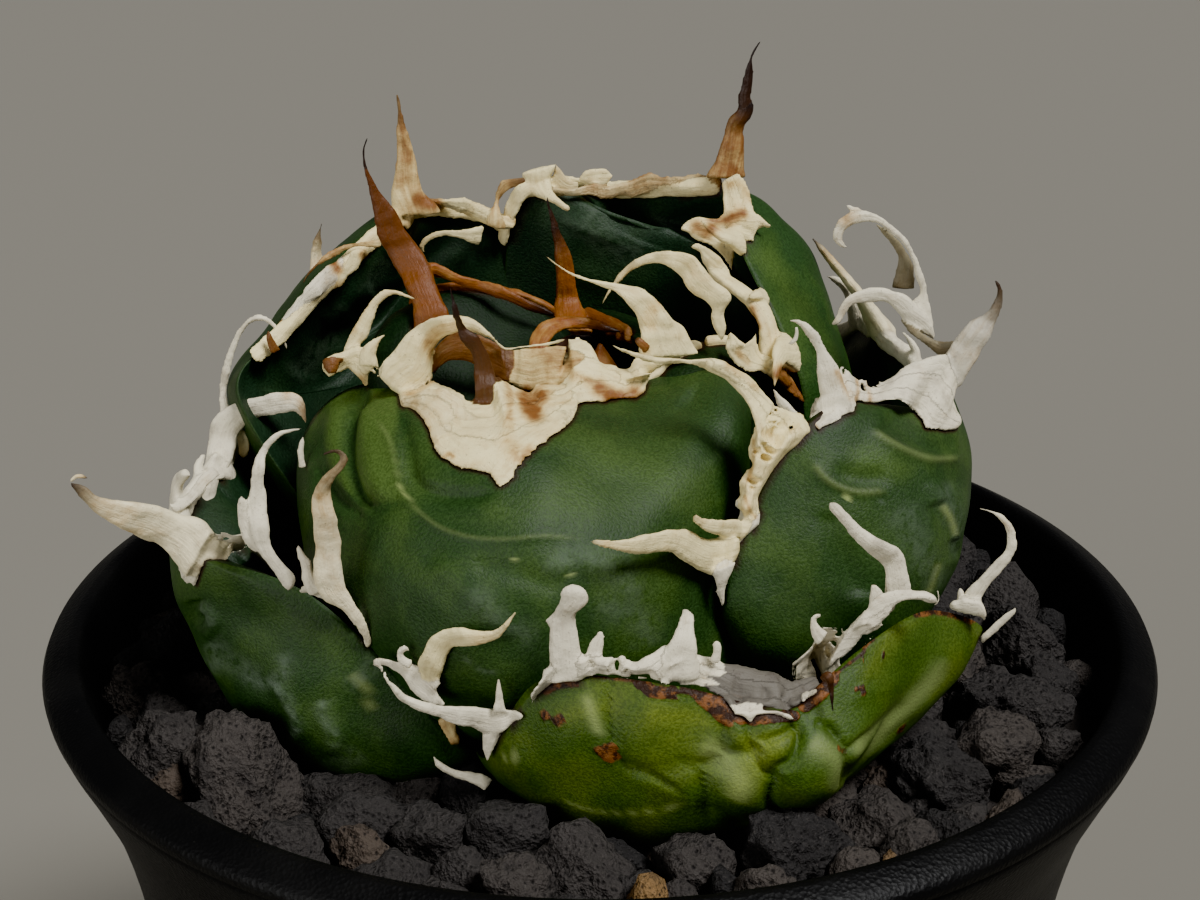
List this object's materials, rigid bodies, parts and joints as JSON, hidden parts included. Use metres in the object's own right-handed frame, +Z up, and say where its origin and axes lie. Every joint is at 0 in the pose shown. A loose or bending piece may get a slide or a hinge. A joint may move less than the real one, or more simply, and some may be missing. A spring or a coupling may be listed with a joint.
{
  "type": "potted white whale agave titanota",
  "caption": "Compact agave rosette with thick green leaves, wide pale horn margins, hooked teeth and long curved spines, in a round black plastic pot of lava stones.",
  "frame": {"origin": "centre of the pot's foot, on the surface that it stands on", "axes": "+Z up along the pot's axis, the pictured side faces -Y, +X to the viewer's right"},
  "size_m": [0.135, 0.1358, 0.1735],
  "materials": {
    "pot": "black moulded plastic, matt with a fine pebbled grain",
    "lava_stone": "rough porous lava stones, dark grey-brown with a few tan ones",
    "stem": "pale green fibrous core",
    "bud": "furled young leaves, olive with brown edges",
    "leaf": "deep green waxy skin with pale bud imprints",
    "leaf_bright": "lighter yellow-green skin, wrinkled on the front leaf",
    "horn": "cream to grey-white corky horn with brown stains and dark spine tips",
    "horn_brown": "young orange to red-brown horn"
  },
  "bodies": {
    "root": {"pot": "pot", "gravel": "lava_stone", "stem": "stem", "bud": "bud", "front_leaf": "leaf_bright", "front_horn": "horn", "left_leaf": "leaf", "left_horn": "horn", "face_leaf": "leaf", "face_horn": "horn", "right_leaf": "leaf", "right_horn": "horn", "tall_leaf": "leaf_bright", "tall_horn": "horn", "rear_left_leaf": "leaf", "rear_left_horn": "horn", "right_low_leaf": "leaf", "right_low_horn": "horn", "back_low_leaf": "leaf", "back_low_horn": "horn", "back_left_low_leaf": "leaf", "back_left_low_horn": "horn", "left_low_leaf": "leaf", "left_low_horn": "horn", "inner_left_leaf": "leaf", "inner_left_horn": "horn_brown", "inner_right_leaf": "leaf", "inner_right_horn": "horn_brown", "inner_front_leaf": "leaf", "inner_front_horn": "horn_brown"}
  },
  "joints": []
}
